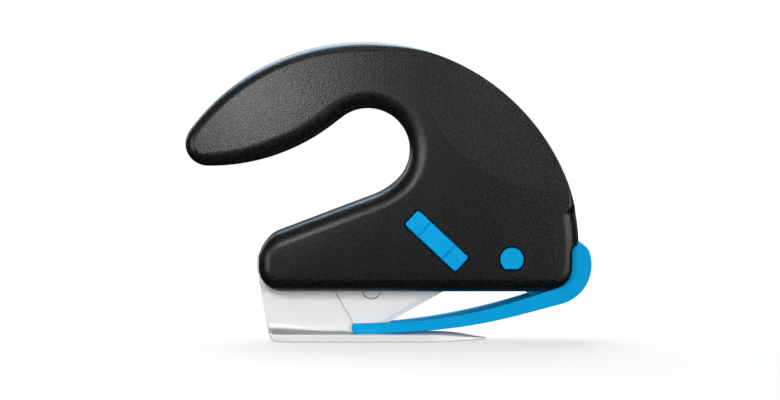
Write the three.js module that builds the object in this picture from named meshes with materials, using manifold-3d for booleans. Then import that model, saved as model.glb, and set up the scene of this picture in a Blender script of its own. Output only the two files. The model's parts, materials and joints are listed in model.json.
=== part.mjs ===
// A hand-held slitting cutter: a C-shaped two-shell handle on a sled foot, with a replaceable straight
// blade, a sprung guard arm over its edge, a blade release key and an arm lock button.
// Millimetres, +Z up, +X the cutting direction, Y = 0 at the parting plane of the two shells.
// Finished pieces are raised by STAND, so that the foot stands on the surface at z = 0.
import * as THREE from "three";
import { mergeVertices } from "three/addons/utils/BufferGeometryUtils.js";
import Module from "manifold-3d";

const wasm = await Module();
wasm.setup();

// ---- driving dimensions -------------------------------------------------------------------------------
const GAP = 0.3; // between neighbouring pieces that touch on the real cutter
const ARC_ERROR = 0.12; // how far a chord may leave its arc
const STAND = 0.43; // how far the foot's underside lies below the drawing's z = 0

// The handle's outline is a belt around these circles: x, z, radius, negative where it bends inwards.
const HALF_DEPTH = 12;
const RIM_RADIUS = 5.4;
const WALL = 2.4;
const BODY_BOTTOM = 18.2;
const OUTLINE = {
  frontCorner: [59.83, 26.2, 8],
  front: [1.36, 34.11, 67],
  top: [-8.8, 29.9, 78],
  tail: [-65, 71.55, 8],
  gripUnderside: [-64, 135.5, 71.95],
  fingerHole: [-7.55, 69.1, -15.1],
  fingerHoleFloor: [-14.55, 76.1, -25],
  noseTop: [-36, 29.53, 11],
  noseBottom: [-38.2, 27, 8.8],
};
const FACET = { x: 58.3, z: 103, radius: 47.9, slope: Math.tan(THREE.MathUtils.degToRad(4)) };

// The guard arm's side profile is a belt too, and its plan widens from the fork to the front.
const ARM_PROFILE = {
  tipBottom: [-12.6, 3.5, 0.9],
  underside: [-10.06, 231.6, 229],
  frontBend: [58.42, 27.88, 14.5],
  tabTop: [68.75, 32.3, 3.1],
  innerBend: [57.8, 26.9, -7.85],
  topside: [-13.28, 211, -204.95],
  tipTop: [-12.6, 5.15, 0.9],
};
const ARM_PLAN = [
  [-15, 2.7],
  [-3, 3],
  [5, 5.2],
  [19, 7.2],
  [33, 9],
  [75, 9],
];
const FORK_SLOT = { half: 1.3, end: 20 };
const ARM_CLEARANCE = 0.8;

const PIVOT = { x: 44.07, z: 30.13 };
const HUB = { radius: 6.4, bore: 3.2, half: 3 };
const LUG_FOOT = [56, 17.4, 3.6];
const BUSH = { radius: 2.9, bore: 1.6, flange: 4.6, end: 9.4 };
const BUTTON = { radius: 4.2, flat: 3.5, flange: 5.4, stem: 1.25, stemEnd: 5.5 };
const PRESS_TRAVEL = 2.2;
const WINDOW_GAP = 0.3;

// The blade lies at this angle; its own axes run along its edge (u) and up its short side (v).
const BLADE_ANGLE = THREE.MathUtils.degToRad(29.5);
const BLADE = { x: -9.86, z: 0.8, length: 40, height: 24, half: 0.5, bevel: 1.8, hole: 3.55 };
const STUD = { u: 11.6, v: 13.37, radius: 3.3, shank: 1.5 };

const WEB_HALF = 0.9;
const PLATE = {
  rear: -43.2,
  front: 34.8,
  half: 6,
  bottom: -STAND,
  top: 2.25,
  crown: 0.3,
  tipBottom: 0.1,
  tipTop: 0.9,
  tipHalf: 1.2,
  slopeStart: 22,
  taperStart: 12,
  corner: 2,
};
const WEB = {
  bottom: 2.85,
  rearTop: [-44.6, 33],
  rearCorner: [-48.1, 30.9],
  rearWaist: [-48.1, 26.7],
  rearHeel: [-44.8, 7.2],
  seatEnd: 33,
  top: 31,
  topStart: 9.6,
};
const SLOT = { low: BODY_BOTTOM - 3, high: BODY_BOTTOM + WALL + 1, rear: -50, front: 26 };
const NOSE_SLOT = { front: -40, top: 34 };
const STUD_SLOT_HALF = 5;
const LUG_SLOT = { rear: 43.4, front: 60.8, clearance: 0.6, top: BODY_BOTTOM + WALL + 4 };

const WEB_PINS = [
  [-40, 26.5],
  [-29.5, 27.5],
  [-6, 34.5],
];
const PIN = { radius: 1.6, half: 7 };

const KEY = { x: 17.12, z: 36.8, angle: -43.35, length: 24.9, width: 7.05, corner: 0.9, groove: 6 };
const KEY_POST = { reach: 9, radius: 1.4, stake: 0.8 };
const STUD_PLATE = { near: 3, far: 4.2, web: 4 };

const SCREWS = [
  [-58, 75],
  [-22, 92],
  [26, 84],
  [57, 52],
  [33, 27.4],
  [-31, 37.6],
];
const SCREW = { shank: 1.25, head: 2.6, bore: 1.55, seat: 6.6, headDepth: 2, tip: -7.5 };
const BOSS = { radius: 3.3, farExtra: 0.9, counterbore: 3 };
const RECESS = { reach: 1.5, half: 0.35, depth: 1.1 };
const ARM_SPRING = { radius: 4.4, wire: 0.5, turns: 3, near: 3.9, far: 6.9, armLeg: 8, shellLeg: 9 };
const KEY_SPRING = { radius: 1.95, wire: 0.3, turns: 4 };
const BUTTON_SPRING = { radius: 2.2, wire: 0.28, turns: 3.5 };

// ---- materials ----------------------------------------------------------------------------------------
const MATERIALS = {
  blackPlastic: new THREE.MeshStandardMaterial({ color: 0x232323, roughness: 0.6, metalness: 0 }),
  bluePlastic: new THREE.MeshStandardMaterial({ color: 0x0a9bdc, roughness: 0.45, metalness: 0 }),
  satinSteel: new THREE.MeshStandardMaterial({ color: 0xd6d6d6, roughness: 0.35, metalness: 1 }),
  bladeSteel: new THREE.MeshStandardMaterial({ color: 0xdedede, roughness: 0.25, metalness: 1 }),
  springSteel: new THREE.MeshStandardMaterial({ color: 0x9a9a9a, roughness: 0.3, metalness: 1 }),
  zincScrew: new THREE.MeshStandardMaterial({ color: 0xb4b6ba, roughness: 0.4, metalness: 1 }),
};

// ---- solids -------------------------------------------------------------------------------------------
// A closed three.js geometry as a solid that can be joined and cut.
function solidOf(geometry) {
  const bare = geometry.clone();
  bare.deleteAttribute("normal");
  bare.deleteAttribute("uv");
  const merged = mergeVertices(bare, 1e-4);
  return new wasm.Manifold(
    new wasm.Mesh({
      numProp: 3,
      vertProperties: new Float32Array(merged.attributes.position.array),
      triVerts: new Uint32Array(merged.index.array),
    }),
  );
}

// A named mesh of a solid.
function piece(name, solid, material) {
  const made = solid.getMesh();
  const geometry = new THREE.BufferGeometry();
  geometry.setAttribute("position", new THREE.BufferAttribute(made.vertProperties, 3));
  geometry.setIndex(new THREE.BufferAttribute(made.triVerts, 1));
  geometry.computeVertexNormals();
  geometry.translate(0, 0, STAND);
  const mesh = new THREE.Mesh(geometry, material);
  mesh.name = name;
  return mesh;
}

// An anticlockwise outline in the XZ plane: a belt run round circles given as x, z and signed radius.
// Growing every signed radius by the same amount moves the whole outline outwards by that amount.
function belt(circles, grow = 0) {
  const rings = circles.map(([x, z, radius]) => ({ at: new THREE.Vector2(x, z), radius: radius + grow }));
  const headings = rings.map((ring, i) => {
    const next = rings[(i + 1) % rings.length];
    const step = next.at.clone().sub(ring.at);
    const rise = next.radius - ring.radius;
    const run = Math.sqrt(Math.max(0, step.lengthSq() - rise * rise));
    return step.angle() - Math.atan2(rise, run);
  });
  const points = [];
  rings.forEach((ring, i) => {
    const arriving = headings[(i + rings.length - 1) % rings.length];
    const turn = 2 * Math.PI * Math.sign(ring.radius);
    let sweep = (headings[i] - arriving) % (2 * Math.PI);
    if (sweep * turn < 0 && Math.abs(sweep) > 1e-6) sweep += turn;
    const stepAngle = 2 * Math.acos(1 - ARC_ERROR / Math.max(Math.abs(ring.radius), 2 * ARC_ERROR));
    const count = Math.max(1, Math.ceil(Math.abs(sweep) / stepAngle));
    for (let k = 0; k <= count; k++) {
      const angle = arriving + (sweep * k) / count - Math.PI / 2;
      const heading = new THREE.Vector2(Math.cos(angle), Math.sin(angle));
      points.push(heading.multiplyScalar(ring.radius).add(ring.at));
    }
  });
  return points.filter((p, i) => p.distanceTo(points[(i + 1) % points.length]) > 0.02);
}

// A slab of an XZ outline from one Y to another, its rims rounded or chamfered where a bevel is given.
function slab(points, yLow, yHigh, bevel = 0, bevelSegments = 1) {
  const geometry = new THREE.ExtrudeGeometry(new THREE.Shape(points), {
    depth: yHigh - yLow - 2 * bevel,
    bevelEnabled: bevel > 0,
    bevelThickness: bevel,
    bevelSize: bevel,
    bevelOffset: -bevel,
    bevelSegments,
  });
  geometry.translate(0, 0, bevel - yHigh);
  geometry.rotateX(Math.PI / 2);
  return solidOf(geometry);
}

// A round bar along Y.
function rod(x, z, yLow, yHigh, radius, sides = 16) {
  const geometry = new THREE.CylinderGeometry(radius, radius, yHigh - yLow, sides);
  geometry.translate(x, (yLow + yHigh) / 2, z);
  return solidOf(geometry);
}

// A block between two corners.
function block(xLow, xHigh, yLow, yHigh, zLow, zHigh) {
  const geometry = new THREE.BoxGeometry(xHigh - xLow, yHigh - yLow, zHigh - zLow);
  geometry.translate((xLow + xHigh) / 2, (yLow + yHigh) / 2, (zLow + zHigh) / 2);
  return solidOf(geometry);
}

// A rectangle with rounded corners, turned about its centre, as an outline.
function roundedBar(x, z, length, width, corner, degrees) {
  const turn = THREE.MathUtils.degToRad(degrees);
  const middle = new THREE.Vector2(x, z);
  const corners = [
    [1, -1],
    [1, 1],
    [-1, 1],
    [-1, -1],
  ].map(([along, across]) => {
    const at = new THREE.Vector2(along * (length / 2 - corner), across * (width / 2 - corner));
    at.rotateAround(new THREE.Vector2(), turn).add(middle);
    return [at.x, at.y, corner];
  });
  return belt(corners);
}

class Helix extends THREE.Curve {
  // A helix round the Y direction at x, z.
  constructor(x, z, yLow, yHigh, radius, turns) {
    super();
    Object.assign(this, { x, z, yLow, yHigh, radius, turns });
  }

  getPoint(t, target = new THREE.Vector3()) {
    const angle = 2 * Math.PI * this.turns * t;
    const y = this.yLow + (this.yHigh - this.yLow) * t;
    return target.set(this.x + this.radius * Math.cos(angle), y, this.z + this.radius * Math.sin(angle));
  }
}

// Round wire along a curve.
function wire(curve, radius, steps, sides = 6) {
  const section = new THREE.Shape(
    Array.from({ length: sides }, (_, i) => {
      const angle = (2 * Math.PI * i) / sides;
      return new THREE.Vector2(radius * Math.cos(angle), radius * Math.sin(angle));
    }),
  );
  return solidOf(new THREE.ExtrudeGeometry(section, { steps, extrudePath: curve, bevelEnabled: false }));
}

// A coil spring along Y whose wire stays between two Y values.
function coil(x, z, yLow, yHigh, radius, wireRadius, turns) {
  const path = new Helix(x, z, yLow + wireRadius, yHigh - wireRadius, radius, turns);
  return wire(path, wireRadius, Math.round(turns * 12));
}

// A point given in the blade's own axes, in the XZ plane.
function onBlade(u, v) {
  return new THREE.Vector2(u, v)
    .rotateAround(new THREE.Vector2(), BLADE_ANGLE)
    .add(new THREE.Vector2(BLADE.x, BLADE.z));
}

// A point at a distance along the key from its centre, in the XZ plane.
function onKey(along) {
  return new THREE.Vector2(along, 0)
    .rotateAround(new THREE.Vector2(), THREE.MathUtils.degToRad(KEY.angle))
    .add(new THREE.Vector2(KEY.x, KEY.z));
}

// ---- the handle's shells ------------------------------------------------------------------------------
// The handle's outer form: a slab with rounded rims, sharp-edged and dished by a shallow cone at the
// upper front, with the pocket that the guard arm lies in.
function handleForm() {
  const circles = Object.values(OUTLINE);
  const rounded = slab(belt(circles), -HALF_DEPTH, HALF_DEPTH, RIM_RADIUS, 3);
  const sharp = slab(belt(circles), -HALF_DEPTH, HALF_DEPTH);
  const sector = rod(FACET.x, FACET.z, -HALF_DEPTH, HALF_DEPTH, FACET.radius, 48);
  const reach = 2;
  const depth = FACET.radius * FACET.slope;
  const cone = new THREE.LatheGeometry(
    [
      new THREE.Vector2(0, -reach),
      new THREE.Vector2(FACET.radius + reach / FACET.slope, -reach),
      new THREE.Vector2(0, depth),
    ],
    48,
  );
  cone.translate(FACET.x, -HALF_DEPTH, FACET.z);
  const nearDish = solidOf(cone);
  const farDish = nearDish.mirror([0, 1, 0]);
  const armPocket = slab(belt(Object.values(ARM_PROFILE), ARM_CLEARANCE), -HALF_DEPTH - 1, HALF_DEPTH + 1);
  return rounded.add(sharp.intersect(sector)).subtract(nearDish).subtract(farDish).subtract(armPocket);
}

// The hollow inside both shells.
function handleHollow() {
  const room = slab(belt(Object.values(OUTLINE), -WALL), WALL - HALF_DEPTH, HALF_DEPTH - WALL, 2.2);
  const armWall = slab(belt(Object.values(ARM_PROFILE), ARM_CLEARANCE + 2), -HALF_DEPTH, HALF_DEPTH);
  return room.subtract(armWall);
}

// The slots in the handle's bottom and nose for the foot, the blade, the blade stud and the arm's lug.
function handleSlots() {
  const half = WEB_HALF + GAP;
  const web = block(SLOT.rear, SLOT.front, -half, half, SLOT.low, SLOT.high);
  const nose = block(SLOT.rear, NOSE_SLOT.front, -half, half, SLOT.low, NOSE_SLOT.top);
  const stud = onBlade(STUD.u, STUD.v);
  const studReach = STUD_PLATE.far + PRESS_TRAVEL + GAP;
  const [studRear, studFront] = [stud.x - STUD_SLOT_HALF, stud.x + STUD_SLOT_HALF];
  const studSlot = block(studRear, studFront, 0, studReach, SLOT.low, SLOT.high);
  const lugHalf = HUB.half + LUG_SLOT.clearance;
  const lug = block(LUG_SLOT.rear, LUG_SLOT.front, -lugHalf, lugHalf, SLOT.low, LUG_SLOT.top);
  return web.add(nose).add(studSlot).add(lug);
}

// The blue key's outline, grown for the window that it stands in.
function keyOutline(grow = 0) {
  const [length, width] = [KEY.length + 2 * grow, KEY.width + 2 * grow];
  return roundedBar(KEY.x, KEY.z, length, width, KEY.corner + grow, KEY.angle);
}

// A round bar along Y with a flat below, for the lock button and its window.
function flattedRod(yLow, yHigh, radius, flat) {
  const bar = rod(PIVOT.x, PIVOT.z, yLow, yHigh, radius, 32);
  const below = block(PIVOT.x - 9, PIVOT.x + 9, yLow - 1, yHigh + 1, PIVOT.z - 9, PIVOT.z - flat);
  return bar.subtract(below);
}

// The near shell, on the -Y side: it holds the key's and the button's windows and takes the screws.
function leftShell(form, hollow, slots) {
  const half = block(-80, 80, -20, -GAP / 2, -5, 120);
  const inner = WALL - HALF_DEPTH - 0.1;
  let shell = form.subtract(hollow);
  for (const [x, z] of SCREWS) {
    shell = shell.add(rod(x, z, inner, -GAP / 2, BOSS.radius));
    shell = shell.subtract(rod(x, z, SCREW.tip - 0.5, 1, SCREW.bore, 12));
  }
  for (const [x, z] of WEB_PINS) {
    const bossEnd = -WEB_HALF - GAP;
    shell = shell.add(rod(x, z, inner, bossEnd, BOSS.radius));
    shell = shell.subtract(rod(x, z, -PIN.half - GAP, 1, PIN.radius + 0.2));
  }
  shell = shell.subtract(slab(keyOutline(WINDOW_GAP), -HALF_DEPTH - 1, inner + 1));
  shell = shell.subtract(
    flattedRod(-HALF_DEPTH - 1, inner + 1, BUTTON.radius + WINDOW_GAP, BUTTON.flat + WINDOW_GAP),
  );
  return shell.subtract(slots).intersect(half);
}

// The far shell, on the +Y side: it takes the screw heads and holds the arm's bush and the key's springs.
function rightShell(form, hollow, slots) {
  const half = block(-80, 80, GAP / 2, 20, -5, 120);
  const inner = HALF_DEPTH - WALL + 0.1;
  let shell = form.subtract(hollow);
  for (const [x, z] of SCREWS) {
    shell = shell.add(rod(x, z, GAP / 2, inner, BOSS.radius + BOSS.farExtra));
    shell = shell.subtract(rod(x, z, -1, HALF_DEPTH, SCREW.bore, 12));
    shell = shell.subtract(rod(x, z, SCREW.seat, HALF_DEPTH + 1, BOSS.counterbore));
  }
  for (const [x, z] of WEB_PINS) {
    const bossEnd = WEB_HALF + GAP;
    shell = shell.add(rod(x, z, bossEnd, inner, BOSS.radius));
    shell = shell.subtract(rod(x, z, -1, PIN.half + GAP, PIN.radius + 0.2));
  }
  for (const along of [-KEY_POST.reach, KEY_POST.reach]) {
    const at = onKey(along);
    shell = shell.add(rod(at.x, at.y, STUD_PLATE.far + PRESS_TRAVEL + 0.5, inner, 1.2, 12));
  }
  const socket = rod(PIVOT.x, PIVOT.z, 7.6, inner, 5);
  shell = shell.add(socket).subtract(rod(PIVOT.x, PIVOT.z, 0, BUSH.end + GAP, BUSH.radius + GAP));
  return shell.subtract(slots).intersect(half);
}

// ---- the foot and the blade ---------------------------------------------------------------------------
// The upright web: it runs up inside the nose, and its front corner seats the blade's back and top edges.
function footWeb() {
  const rise = (WEB.bottom - BLADE.z) / Math.cos(BLADE_ANGLE);
  const outline = [
    new THREE.Vector2(PLATE.rear + 0.3, WEB.bottom),
    onBlade(-GAP, rise),
    onBlade(-GAP, BLADE.height + GAP),
    onBlade(WEB.seatEnd, BLADE.height + GAP),
    onBlade(WEB.seatEnd, WEB.top),
    onBlade(WEB.topStart, WEB.top),
    new THREE.Vector2(...WEB.rearTop),
    new THREE.Vector2(...WEB.rearCorner),
    new THREE.Vector2(...WEB.rearWaist),
    new THREE.Vector2(...WEB.rearHeel),
  ];
  let web = slab(outline, -WEB_HALF, WEB_HALF);
  for (const [x, z] of WEB_PINS) web = web.subtract(rod(x, z, -2, 2, PIN.radius + 0.2));
  return web;
}

// The sled that slides under the cloth: rounded up at the back, crowned along its middle, thin at the
// front, with the blade's slot.
function basePlate() {
  const ridge = PLATE.top + PLATE.crown;
  const side = slab(
    [
      new THREE.Vector2(PLATE.rear + 3.8, PLATE.bottom),
      new THREE.Vector2(PLATE.slopeStart, PLATE.bottom),
      new THREE.Vector2(PLATE.front, PLATE.tipBottom),
      new THREE.Vector2(PLATE.front, PLATE.tipTop),
      new THREE.Vector2(PLATE.front - 6, 1.8),
      new THREE.Vector2(PLATE.slopeStart, ridge),
      new THREE.Vector2(PLATE.rear, ridge),
      new THREE.Vector2(PLATE.rear, PLATE.top),
      new THREE.Vector2(PLATE.rear + 1.1, 0.4),
    ],
    -PLATE.half,
    PLATE.half,
  );
  const section = new THREE.ExtrudeGeometry(
    new THREE.Shape([
      new THREE.Vector2(-PLATE.half, -1),
      new THREE.Vector2(PLATE.half, -1),
      new THREE.Vector2(PLATE.half, PLATE.top),
      new THREE.Vector2(0, ridge),
      new THREE.Vector2(-PLATE.half, PLATE.top),
    ]),
    { depth: PLATE.front - PLATE.rear + 2, bevelEnabled: false },
  );
  // The section's x becomes Y and its y becomes Z, so the length runs along X.
  section.applyMatrix4(
    new THREE.Matrix4().makeBasis(
      new THREE.Vector3(0, 1, 0),
      new THREE.Vector3(0, 0, 1),
      new THREE.Vector3(1, 0, 0),
    ),
  );
  section.translate(PLATE.rear - 1, 0, 0);
  const { rear, front, half, corner, tipHalf, taperStart } = PLATE;
  const plan = new THREE.Shape();
  plan.moveTo(rear + corner, -half);
  plan.lineTo(taperStart, -half);
  plan.quadraticCurveTo(29, -half, front, -tipHalf);
  plan.lineTo(front, tipHalf);
  plan.quadraticCurveTo(29, half, taperStart, half);
  plan.lineTo(rear + corner, half);
  plan.quadraticCurveTo(rear, half, rear, half - corner);
  plan.lineTo(rear, corner - half);
  plan.quadraticCurveTo(rear, -half, rear + corner, -half);
  const prism = new THREE.ExtrudeGeometry(plan, { depth: 6, bevelEnabled: false, curveSegments: 6 });
  prism.translate(0, 0, -1);
  const slotHalf = BLADE.half + GAP;
  const slot = block(BLADE.x - 2.6, BLADE.x + 7, -slotHalf, slotHalf, 0.5, 6);
  return side.intersect(solidOf(section)).intersect(solidOf(prism)).subtract(slot);
}

// The blade: a rectangle ground to an edge along its lower side, with two holes so that it can be turned.
function blade() {
  const corners = [
    onBlade(0, 0),
    onBlade(BLADE.length, 0),
    onBlade(BLADE.length, BLADE.height),
    onBlade(0, BLADE.height),
  ];
  let body = slab(corners, -BLADE.half, BLADE.half);
  for (const side of [-1, 1]) {
    const wedge = new THREE.ExtrudeGeometry(
      new THREE.Shape([
        new THREE.Vector2(side * 0.08, -0.5),
        new THREE.Vector2(side * 0.08, 0),
        new THREE.Vector2(side * (BLADE.half + 0.01), BLADE.bevel),
        new THREE.Vector2(side * 2, BLADE.bevel),
        new THREE.Vector2(side * 2, -0.5),
      ]),
      { depth: BLADE.length + 4, bevelEnabled: false },
    );
    // The section's x becomes Y and its y becomes the blade's v, so the length runs along u.
    const u = onBlade(1, 0).sub(onBlade(0, 0));
    const v = onBlade(0, 1).sub(onBlade(0, 0));
    wedge.applyMatrix4(
      new THREE.Matrix4().makeBasis(
        new THREE.Vector3(0, 1, 0),
        new THREE.Vector3(v.x, 0, v.y),
        new THREE.Vector3(u.x, 0, u.y),
      ),
    );
    const start = onBlade(-2, 0);
    wedge.translate(start.x, 0, start.y);
    body = body.subtract(solidOf(wedge));
  }
  for (const along of [STUD.u, BLADE.length - STUD.u]) {
    const at = onBlade(along, STUD.v);
    body = body.subtract(rod(at.x, at.y, -2, 2, BLADE.hole, 24));
  }
  return body;
}

// ---- the blade release --------------------------------------------------------------------------------
// The blue key: a bar that fills its window, with a flange behind the wall and two posts to the plate.
function releaseKey() {
  const inner = WALL - HALF_DEPTH + GAP;
  let key = slab(keyOutline(), -HALF_DEPTH + 0.05, inner + 0.6);
  key = key.add(slab(keyOutline(1.2), inner, inner + 1.2));
  for (const along of [-KEY_POST.reach, KEY_POST.reach]) {
    const at = onKey(along);
    key = key.add(rod(at.x, at.y, inner + 1, STUD_PLATE.near - GAP, KEY_POST.radius, 12));
    key = key.add(rod(at.x, at.y, inner + 1, STUD_PLATE.far + 0.2, KEY_POST.stake, 10));
  }
  for (const along of [-KEY.groove, KEY.groove]) {
    const at = onKey(along);
    const groove = roundedBar(at.x, at.y, 0.7, KEY.width + 2, 0.2, KEY.angle);
    key = key.subtract(slab(groove, -HALF_DEPTH - 1, -HALF_DEPTH + 0.6));
  }
  return key;
}

// The plate behind the blade that carries the stud and joins it to the key's two posts.
function studPlate() {
  const stud = onBlade(STUD.u, STUD.v);
  const upper = onKey(-KEY_POST.reach);
  const lower = onKey(KEY_POST.reach);
  const knee = [stud.x + 1.4, stud.y + 7, STUD_PLATE.web - 0.8];
  const tongue = belt([[stud.x, stud.y, STUD_PLATE.web], knee]);
  const bridge = belt([knee, [lower.x, lower.y, 2.6], [upper.x, upper.y, 2.6]]);
  let plate = slab(bridge, STUD_PLATE.near, STUD_PLATE.far);
  plate = plate.add(slab(tongue, STUD_PLATE.near, STUD_PLATE.far));
  for (const at of [upper, lower]) {
    plate = plate.subtract(rod(at.x, at.y, 0, 9, KEY_POST.stake + GAP, 10));
  }
  return plate.subtract(rod(stud.x, stud.y, 0, 9, STUD.shank + GAP, 12));
}

// The stud that locates the blade: its end is level with the blade's near side.
function bladeStud() {
  const at = onBlade(STUD.u, STUD.v);
  const body = rod(at.x, at.y, -BLADE.half, STUD_PLATE.near - GAP, STUD.radius, 24);
  return body.add(rod(at.x, at.y, 0, STUD_PLATE.far + 0.2, STUD.shank, 12));
}

// ---- the guard arm ------------------------------------------------------------------------------------
// The blue arm: a bent strip with a finger tab in front, a fork at its tip and a lug up to its hub.
function guardArm() {
  const profile = slab(belt(Object.values(ARM_PROFILE)), -10, 10);
  const halfPlan = ARM_PLAN.map(([x, half]) => new THREE.Vector2(x, half));
  const mirrored = ARM_PLAN.map(([x, half]) => new THREE.Vector2(x, -half)).reverse();
  const plan = new THREE.ExtrudeGeometry(new THREE.Shape([...halfPlan, ...mirrored].reverse()), {
    depth: 60,
    bevelEnabled: false,
  });
  plan.translate(0, 0, -5);
  const strip = profile.intersect(solidOf(plan));
  const lug = slab(belt([[PIVOT.x, PIVOT.z, HUB.radius], LUG_FOOT].reverse()), -HUB.half, HUB.half);
  const slot = block(-20, FORK_SLOT.end, -FORK_SLOT.half, FORK_SLOT.half, 0, 20);
  const bore = rod(PIVOT.x, PIVOT.z, -9, 9, HUB.bore, 24);
  return strip.add(lug).subtract(slot).subtract(bore);
}

// The flanged steel bush that the arm turns on, held in the far shell; the button's stem slides in it.
function armBush() {
  const flangeFace = -HUB.half - 0.4;
  const tube = rod(PIVOT.x, PIVOT.z, flangeFace - 0.8, BUSH.end, BUSH.radius, 24);
  const flange = rod(PIVOT.x, PIVOT.z, flangeFace - 0.8, flangeFace, BUSH.flange, 24);
  return tube.add(flange).subtract(rod(PIVOT.x, PIVOT.z, -20, 20, BUSH.bore, 16));
}

// The lock button: a round head with a flat below, a flange behind the wall and a stem in the bush.
function lockButton() {
  const inner = WALL - HALF_DEPTH + GAP;
  return flattedRod(-HALF_DEPTH + 0.05, inner + 0.6, BUTTON.radius, BUTTON.flat)
    .add(rod(PIVOT.x, PIVOT.z, inner, inner + 1, BUTTON.flange, 24))
    .add(rod(PIVOT.x, PIVOT.z, inner, BUTTON.stemEnd, BUTTON.stem, 12));
}

// The torsion spring round the bush: three turns, with one leg on the arm's side and one on the shell's.
function armSpring() {
  const { radius, near, far } = ARM_SPRING;
  const body = wire(
    new Helix(PIVOT.x, PIVOT.z, near, far, radius, ARM_SPRING.turns),
    ARM_SPRING.wire,
    14 * ARM_SPRING.turns,
  );
  const leg = (from, to, y) => {
    const x = PIVOT.x + radius;
    const line = new THREE.LineCurve3(
      new THREE.Vector3(x, y, PIVOT.z + from),
      new THREE.Vector3(x, y, PIVOT.z + to),
    );
    return wire(line, ARM_SPRING.wire, 1);
  };
  const armLeg = leg(0.2, -ARM_SPRING.armLeg, near);
  const shellLeg = leg(-0.2, ARM_SPRING.shellLeg, far);
  return body.add(armLeg).add(shellLeg);
}

// ---- fasteners ----------------------------------------------------------------------------------------
// A screw with a cross recess, driven in from the far side.
function shellScrew([x, z]) {
  const headFace = SCREW.seat + SCREW.headDepth + GAP;
  const head = rod(x, z, SCREW.seat + GAP, headFace, SCREW.head, 16);
  const shank = rod(x, z, SCREW.tip, SCREW.seat + 1, SCREW.shank, 10);
  const recess = (alongX, alongZ) =>
    block(x - alongX, x + alongX, headFace - RECESS.depth, headFace + 1, z - alongZ, z + alongZ);
  const cross = recess(RECESS.reach, RECESS.half).add(recess(RECESS.half, RECESS.reach));
  return head.add(shank).subtract(cross);
}

// ---- the cutter ---------------------------------------------------------------------------------------
const cutter = new THREE.Group();
const form = handleForm();
const hollow = handleHollow();
const slots = handleSlots();

cutter.add(piece("left_shell", leftShell(form, hollow, slots), MATERIALS.blackPlastic));
cutter.add(piece("right_shell", rightShell(form, hollow, slots), MATERIALS.blackPlastic));
SCREWS.forEach((at, i) => cutter.add(piece(`shell_screw_${i + 1}`, shellScrew(at), MATERIALS.zincScrew)));

cutter.add(piece("foot_web", footWeb(), MATERIALS.satinSteel));
cutter.add(piece("base_plate", basePlate(), MATERIALS.satinSteel));
WEB_PINS.forEach(([x, z], i) => {
  const pin = rod(x, z, -PIN.half, PIN.half, PIN.radius, 16);
  cutter.add(piece(`web_pin_${i + 1}`, pin, MATERIALS.zincScrew));
});
cutter.add(piece("blade", blade(), MATERIALS.bladeSteel));

cutter.add(piece("release_key", releaseKey(), MATERIALS.bluePlastic));
cutter.add(piece("stud_plate", studPlate(), MATERIALS.zincScrew));
cutter.add(piece("blade_stud", bladeStud(), MATERIALS.bladeSteel));
[-KEY_POST.reach, KEY_POST.reach].forEach((along, i) => {
  const at = onKey(along);
  const [low, high] = [STUD_PLATE.far + GAP, HALF_DEPTH - WALL - GAP];
  const spring = coil(at.x, at.y, low, high, KEY_SPRING.radius, KEY_SPRING.wire, KEY_SPRING.turns);
  cutter.add(piece(`key_spring_${i + 1}`, spring, MATERIALS.springSteel));
});

cutter.add(piece("guard_arm", guardArm(), MATERIALS.bluePlastic));
cutter.add(piece("arm_bush", armBush(), MATERIALS.zincScrew));
cutter.add(piece("arm_spring", armSpring(), MATERIALS.springSteel));
cutter.add(piece("lock_button", lockButton(), MATERIALS.bluePlastic));
const buttonSpring = coil(
  PIVOT.x,
  PIVOT.z,
  WALL - HALF_DEPTH + GAP + 1 + GAP,
  -HUB.half - 1.2 - GAP,
  BUTTON_SPRING.radius,
  BUTTON_SPRING.wire,
  BUTTON_SPRING.turns,
);
cutter.add(piece("button_spring", buttonSpring, MATERIALS.springSteel));

export default cutter;
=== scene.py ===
"""Looks of a hand-held slitting cutter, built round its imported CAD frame.

Inside the classes, lengths are millimetres in the drawing's axes: +X is the cutting direction, +Z is up
and Y = 0 is the parting plane of the handle's two shells. A finished piece is raised by STAND, so that the
foot stands at z = 0 as in the frame, and scaled to metres.
"""

import json
import logging
import math
from dataclasses import dataclass
from enum import Enum
from typing import Any, Callable, Iterable, Sequence

import bmesh
import bpy
from bmesh.types import BMEdge, BMesh, BMVert
from mathutils import Matrix, Vector

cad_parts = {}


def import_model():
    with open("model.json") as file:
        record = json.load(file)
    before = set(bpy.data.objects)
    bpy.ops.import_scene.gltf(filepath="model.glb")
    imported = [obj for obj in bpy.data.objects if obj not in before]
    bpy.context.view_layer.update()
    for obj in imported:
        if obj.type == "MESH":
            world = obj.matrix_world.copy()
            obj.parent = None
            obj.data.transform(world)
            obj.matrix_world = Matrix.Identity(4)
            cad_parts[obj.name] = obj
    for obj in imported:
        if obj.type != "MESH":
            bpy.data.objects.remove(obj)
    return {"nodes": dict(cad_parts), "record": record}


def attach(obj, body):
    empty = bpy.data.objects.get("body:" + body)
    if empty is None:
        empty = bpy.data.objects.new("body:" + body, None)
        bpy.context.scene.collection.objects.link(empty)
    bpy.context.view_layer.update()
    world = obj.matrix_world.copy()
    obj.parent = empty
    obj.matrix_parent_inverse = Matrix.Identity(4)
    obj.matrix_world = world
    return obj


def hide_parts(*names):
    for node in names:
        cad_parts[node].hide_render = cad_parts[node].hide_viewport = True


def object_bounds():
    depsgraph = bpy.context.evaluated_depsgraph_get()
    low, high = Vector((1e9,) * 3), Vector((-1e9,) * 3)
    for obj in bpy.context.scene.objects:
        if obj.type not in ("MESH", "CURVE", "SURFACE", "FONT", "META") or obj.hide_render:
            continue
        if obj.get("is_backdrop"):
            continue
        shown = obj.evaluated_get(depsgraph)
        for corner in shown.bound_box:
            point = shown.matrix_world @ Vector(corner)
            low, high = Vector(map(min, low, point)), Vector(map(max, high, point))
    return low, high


log = logging.getLogger("cutter")

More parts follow.
